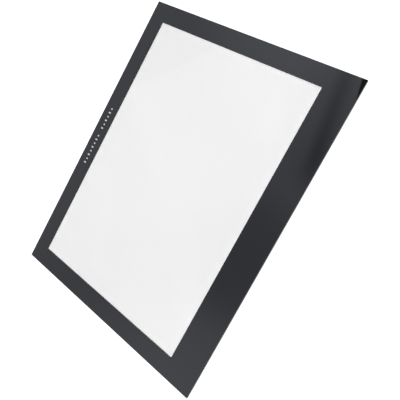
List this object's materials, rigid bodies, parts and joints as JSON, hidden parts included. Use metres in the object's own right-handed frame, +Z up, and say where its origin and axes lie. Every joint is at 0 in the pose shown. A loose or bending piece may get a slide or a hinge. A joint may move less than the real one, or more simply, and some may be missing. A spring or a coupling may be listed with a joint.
{
  "type": "light box",
  "caption": "Thin rectangular light box: clear top sheet with a black printed border round an evenly lit white window, wider at one long side, on a shallow black housing.",
  "frame": {"origin": "under the middle of the top plate, at the level of the feet", "axes": "+X along the long side towards the power inlet, +Y from the wide front border towards the rear, +Z up"},
  "size_m": [0.338, 0.265, 0.01],
  "materials": {
    "clear_sheet": "polished clear acrylic",
    "black_print": "screen-printed black behind the clear sheet",
    "white_print": "screen-printed white",
    "tape": "double-sided foam tape",
    "opal_diffuser": "opal, evenly lit from behind",
    "film": "translucent film",
    "light_guide": "clear acrylic with a dot pattern",
    "white_sheet": "white reflector",
    "white_moulding": "moulded white",
    "strip_board": "white solder mask",
    "led_package": "white package with a yellow phosphor",
    "led_bar": "mill finish",
    "black_moulding": "fine moulded texture",
    "screw_steel": "black oxide steel",
    "rubber": "matte",
    "label": "blank silver label",
    "board": "green solder mask",
    "board_steel": "zinc-plated",
    "chip_black": "moulded epoxy",
    "tinned": "tin-plated",
    "ferrite": "ferrite",
    "tantalum": "moulded case",
    "chip_tan": "fired ceramic",
    "connector": "natural nylon",
    "lead_red": "insulated lead",
    "lead_black": "insulated lead",
    "solder": "solder",
    "jack_pin": "nickel-plated",
    "jack_contact": "spring brass",
    "button": "satin"
  },
  "bodies": {
    "base": {"top_plate": "clear_sheet", "border_mask": "black_print", "printed_marks": "white_print", "plate_tape": "tape", "upper_diffuser": "opal_diffuser", "prism_film": "film", "lower_diffuser": "film", "light_guide_plate": "light_guide", "reflector_sheet": "white_sheet", "inner_frame": "white_moulding", "led_strip_board": "strip_board", "leds": "led_package", "led_bar": "led_bar", "chassis_frame": "black_moulding", "back_cover": "black_moulding", "cover_screws": "screw_steel", "rubber_feet": "rubber", "rating_label": "label", "driver_board": "board", "board_screws": "board_steel", "driver_ic": "chip_black", "ic_leads": "tinned", "power_inductor": "ferrite", "filter_capacitors": "tantalum", "chip_capacitors": "chip_tan", "chip_resistors": "chip_black", "rectifier_diode": "chip_black", "lead_header": "connector", "lead_plug": "connector", "lead_positive": "lead_red", "lead_negative": "lead_black", "solder_joints": "solder", "dc_jack_body": "chip_black", "dc_jack_pin": "jack_pin", "dc_jack_contact": "jack_contact", "switch_body": "chip_black", "switch_shield": "tinned"},
    "button": {"power_button": "button", "switch_plunger": "connector"}
  },
  "joints": [
    {"name": "button_press", "type": "slide", "parent": "base", "child": "button", "axis": [-1, 0, 0], "range_m": [0, 0.0006], "stiffness_N_per_m": 1000, "springref_m": -0.0003}
  ]
}
